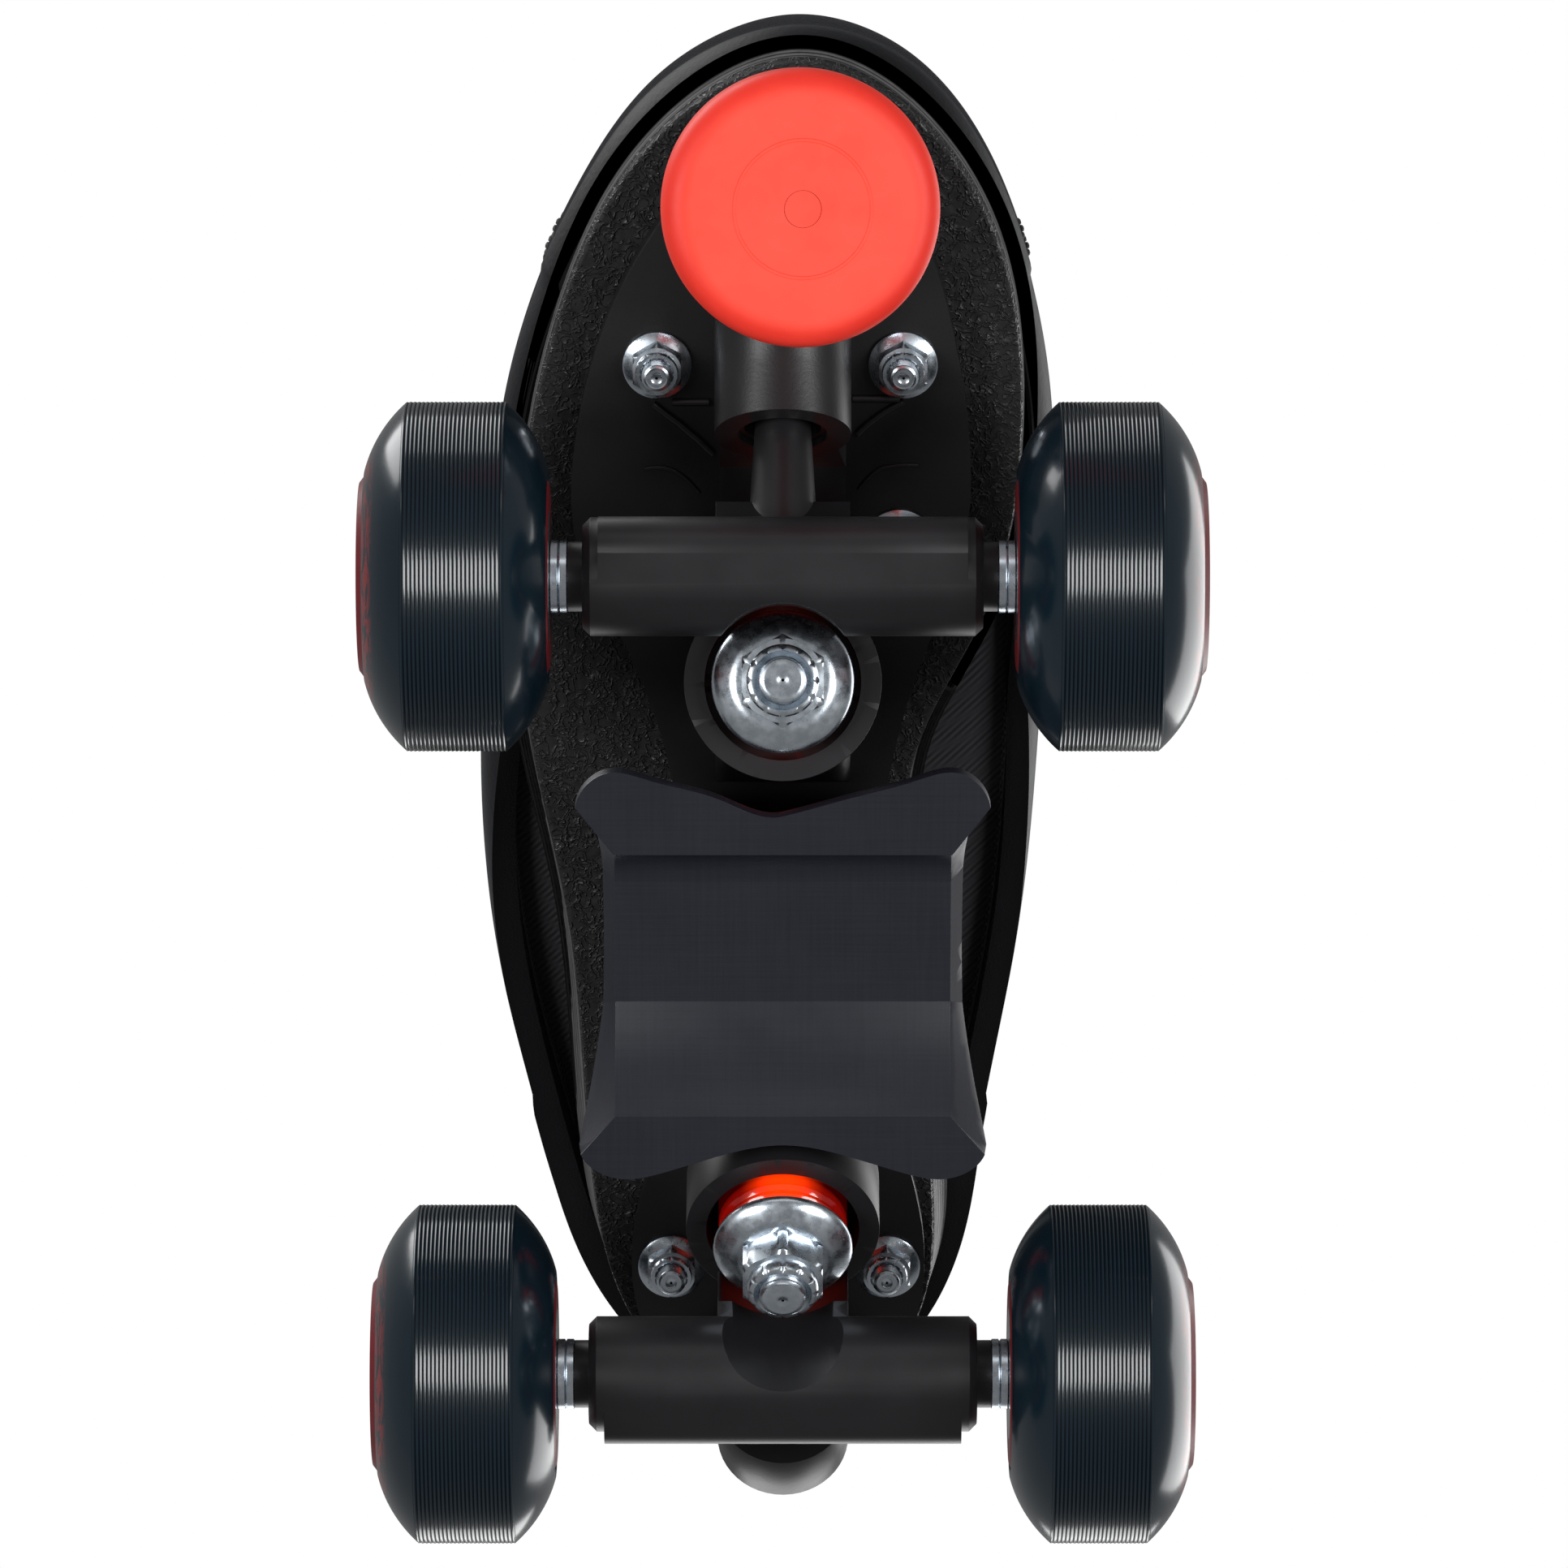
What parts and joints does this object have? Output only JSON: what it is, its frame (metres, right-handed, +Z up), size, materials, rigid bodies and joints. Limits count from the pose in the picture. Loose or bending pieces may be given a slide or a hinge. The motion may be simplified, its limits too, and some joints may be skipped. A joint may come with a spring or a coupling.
{
  "type": "quad roller skate",
  "caption": "High-cut quad roller skate for a right foot, with sprung trucks, bearing wheels, screw-in toe stop and a slide block between the trucks.",
  "frame": {"origin": "on the ground, under the middle of the skate's bounding box", "axes": "+Z up, -Y towards the toe, +X towards the inner (medial) side of the right foot"},
  "size_m": [0.1378, 0.2684, 0.241],
  "materials": {
    "wheel_urethane": "glossy translucent cast urethane with a ground tread",
    "wheel_core_nylon": "satin moulded nylon",
    "bearing_steel": "ground steel",
    "zinc_plated_steel": "bright zinc plate",
    "black_anodised_aluminium": "satin black anodised",
    "red_urethane": "clear glossy cast urethane",
    "black_urethane": "satin",
    "black_nylon": "fine spark-eroded grain",
    "slide_block_plastic": "machined, with fine tool lines",
    "orange_red_rubber": "smooth moulded natural rubber",
    "black_rubber": "coarse wrinkled moulding",
    "layered_sole": "stacked layers with a ground edge",
    "insole_foam": "brushed textile on foam",
    "black_suede": "short-napped microfibre suede",
    "padded_textile": "woven lining over foam",
    "lace_textile": "flat woven lace",
    "webbing": "herringbone tape"
  },
  "bodies": {
    "chassis_and_boot": {"lower_cushion_front": "red_urethane", "upper_cushion_front": "red_urethane", "lower_cup_washer_front": "zinc_plated_steel", "upper_cup_washer_front": "zinc_plated_steel", "kingpin_front": "zinc_plated_steel", "kingpin_nut_front": "zinc_plated_steel", "pivot_cup_front": "black_urethane", "lower_cushion_rear": "red_urethane", "upper_cushion_rear": "red_urethane", "lower_cup_washer_rear": "zinc_plated_steel", "upper_cup_washer_rear": "zinc_plated_steel", "kingpin_rear": "zinc_plated_steel", "kingpin_nut_rear": "zinc_plated_steel", "pivot_cup_rear": "black_urethane", "plate": "black_nylon", "mount_flange_nuts": "zinc_plated_steel", "mount_bolts": "zinc_plated_steel", "slide_block_screws": "zinc_plated_steel", "slide_block": "slide_block_plastic", "toe_stop": "orange_red_rubber", "toe_stop_plug": "orange_red_rubber", "toe_stop_stem": "zinc_plated_steel", "toe_stop_lock_nut": "zinc_plated_steel", "outsole": "black_rubber", "midsole": "layered_sole", "insole": "insole_foam", "boot_upper": "black_suede", "tongue": "padded_textile", "collar_lining": "padded_textile", "laces": "lace_textile", "heel_tab": "webbing"},
    "front_truck": {"bearing_inner_races_front": "bearing_steel", "bearing_spacers_front": "bearing_steel", "speed_rings_front": "zinc_plated_steel", "axle_front": "bearing_steel", "axle_nuts_front": "zinc_plated_steel", "hanger_front": "black_anodised_aluminium"},
    "rear_truck": {"bearing_inner_races_rear": "bearing_steel", "bearing_spacers_rear": "bearing_steel", "speed_rings_rear": "zinc_plated_steel", "axle_rear": "bearing_steel", "axle_nuts_rear": "zinc_plated_steel", "hanger_rear": "black_anodised_aluminium"},
    "front_left_wheel": {"tyre_front_left": "wheel_urethane", "wheel_core_front_left": "wheel_core_nylon", "bearing_outer_races_front_left": "bearing_steel"},
    "front_right_wheel": {"tyre_front_right": "wheel_urethane", "wheel_core_front_right": "wheel_core_nylon", "bearing_outer_races_front_right": "bearing_steel"},
    "rear_left_wheel": {"tyre_rear_left": "wheel_urethane", "wheel_core_rear_left": "wheel_core_nylon", "bearing_outer_races_rear_left": "bearing_steel"},
    "rear_right_wheel": {"tyre_rear_right": "wheel_urethane", "wheel_core_rear_right": "wheel_core_nylon", "bearing_outer_races_rear_right": "bearing_steel"}
  },
  "joints": [
    {"name": "front_truck_lean", "type": "hinge", "parent": "chassis_and_boot", "child": "front_truck", "pos_m": [0, -0.02048, 0.04785], "axis": [0, -0.9771, 0.2127], "range_deg": [-10, 10], "stiffness_Nm_per_rad": 25, "deforming": ["lower_cushion_front", "upper_cushion_front"]},
    {"name": "front_left_wheel_spin", "type": "hinge", "parent": "front_truck", "child": "front_left_wheel", "pos_m": [-0.0531, -0.04596, 0.0285], "axis": [1, 0, 0], "continuous": true},
    {"name": "front_right_wheel_spin", "type": "hinge", "parent": "front_truck", "child": "front_right_wheel", "pos_m": [0.0531, -0.04596, 0.0285], "axis": [1, 0, 0], "continuous": true},
    {"name": "rear_truck_lean", "type": "hinge", "parent": "chassis_and_boot", "child": "rear_truck", "pos_m": [0, 0.07067, 0.04785], "axis": [0, 0.9771, 0.2127], "range_deg": [-10, 10], "stiffness_Nm_per_rad": 25, "deforming": ["lower_cushion_rear", "upper_cushion_rear"]},
    {"name": "rear_left_wheel_spin", "type": "hinge", "parent": "rear_truck", "child": "rear_left_wheel", "pos_m": [-0.0531, 0.09614, 0.0285], "axis": [1, 0, 0], "continuous": true},
    {"name": "rear_right_wheel_spin", "type": "hinge", "parent": "rear_truck", "child": "rear_right_wheel", "pos_m": [0.0531, 0.09614, 0.0285], "axis": [1, 0, 0], "continuous": true}
  ]
}
